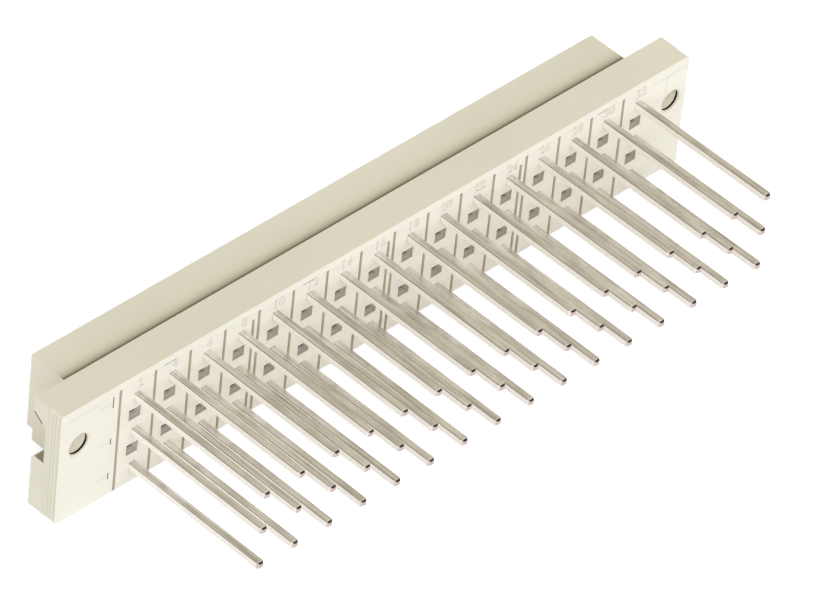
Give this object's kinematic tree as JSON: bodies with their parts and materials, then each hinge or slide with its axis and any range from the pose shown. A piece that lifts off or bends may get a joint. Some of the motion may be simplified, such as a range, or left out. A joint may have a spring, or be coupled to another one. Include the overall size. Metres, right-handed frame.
{
  "type": "three-row pin connector",
  "caption": "Long plastic connector housing with rows of square wrap posts at its face, a socket block behind, and two fixing holes in its end lugs.",
  "frame": {"origin": "midway between the two fixing holes, on the face that the posts leave", "axes": "+X along the housing, +Y from the termination face towards the mating face, +Z across the rows"},
  "size_m": [0.0952, 0.0312, 0.0155],
  "materials": {
    "housing": "fine matt moulding",
    "contact": "bright plated strip"
  },
  "bodies": {
    "root": {"housing": "housing", "contact_row1_01": "contact", "contact_row1_02": "contact", "contact_row1_03": "contact", "contact_row1_04": "contact", "contact_row1_05": "contact", "contact_row1_06": "contact", "contact_row1_07": "contact", "contact_row1_08": "contact", "contact_row1_09": "contact", "contact_row1_10": "contact", "contact_row1_11": "contact", "contact_row1_12": "contact", "contact_row1_13": "contact", "contact_row1_14": "contact", "contact_row1_15": "contact", "contact_row1_16": "contact", "contact_row2_01": "contact", "contact_row2_02": "contact", "contact_row2_03": "contact", "contact_row2_04": "contact", "contact_row2_05": "contact", "contact_row2_06": "contact", "contact_row2_07": "contact", "contact_row2_08": "contact", "contact_row2_09": "contact", "contact_row2_10": "contact", "contact_row2_11": "contact", "contact_row2_12": "contact", "contact_row2_13": "contact", "contact_row2_14": "contact", "contact_row2_15": "contact", "contact_row2_16": "contact", "contact_row3_01": "contact", "contact_row3_02": "contact", "contact_row3_03": "contact", "contact_row3_04": "contact", "contact_row3_05": "contact", "contact_row3_06": "contact", "contact_row3_07": "contact", "contact_row3_08": "contact", "contact_row3_09": "contact", "contact_row3_10": "contact", "contact_row3_11": "contact", "contact_row3_12": "contact", "contact_row3_13": "contact", "contact_row3_14": "contact", "contact_row3_15": "contact", "contact_row3_16": "contact"}
  },
  "joints": []
}
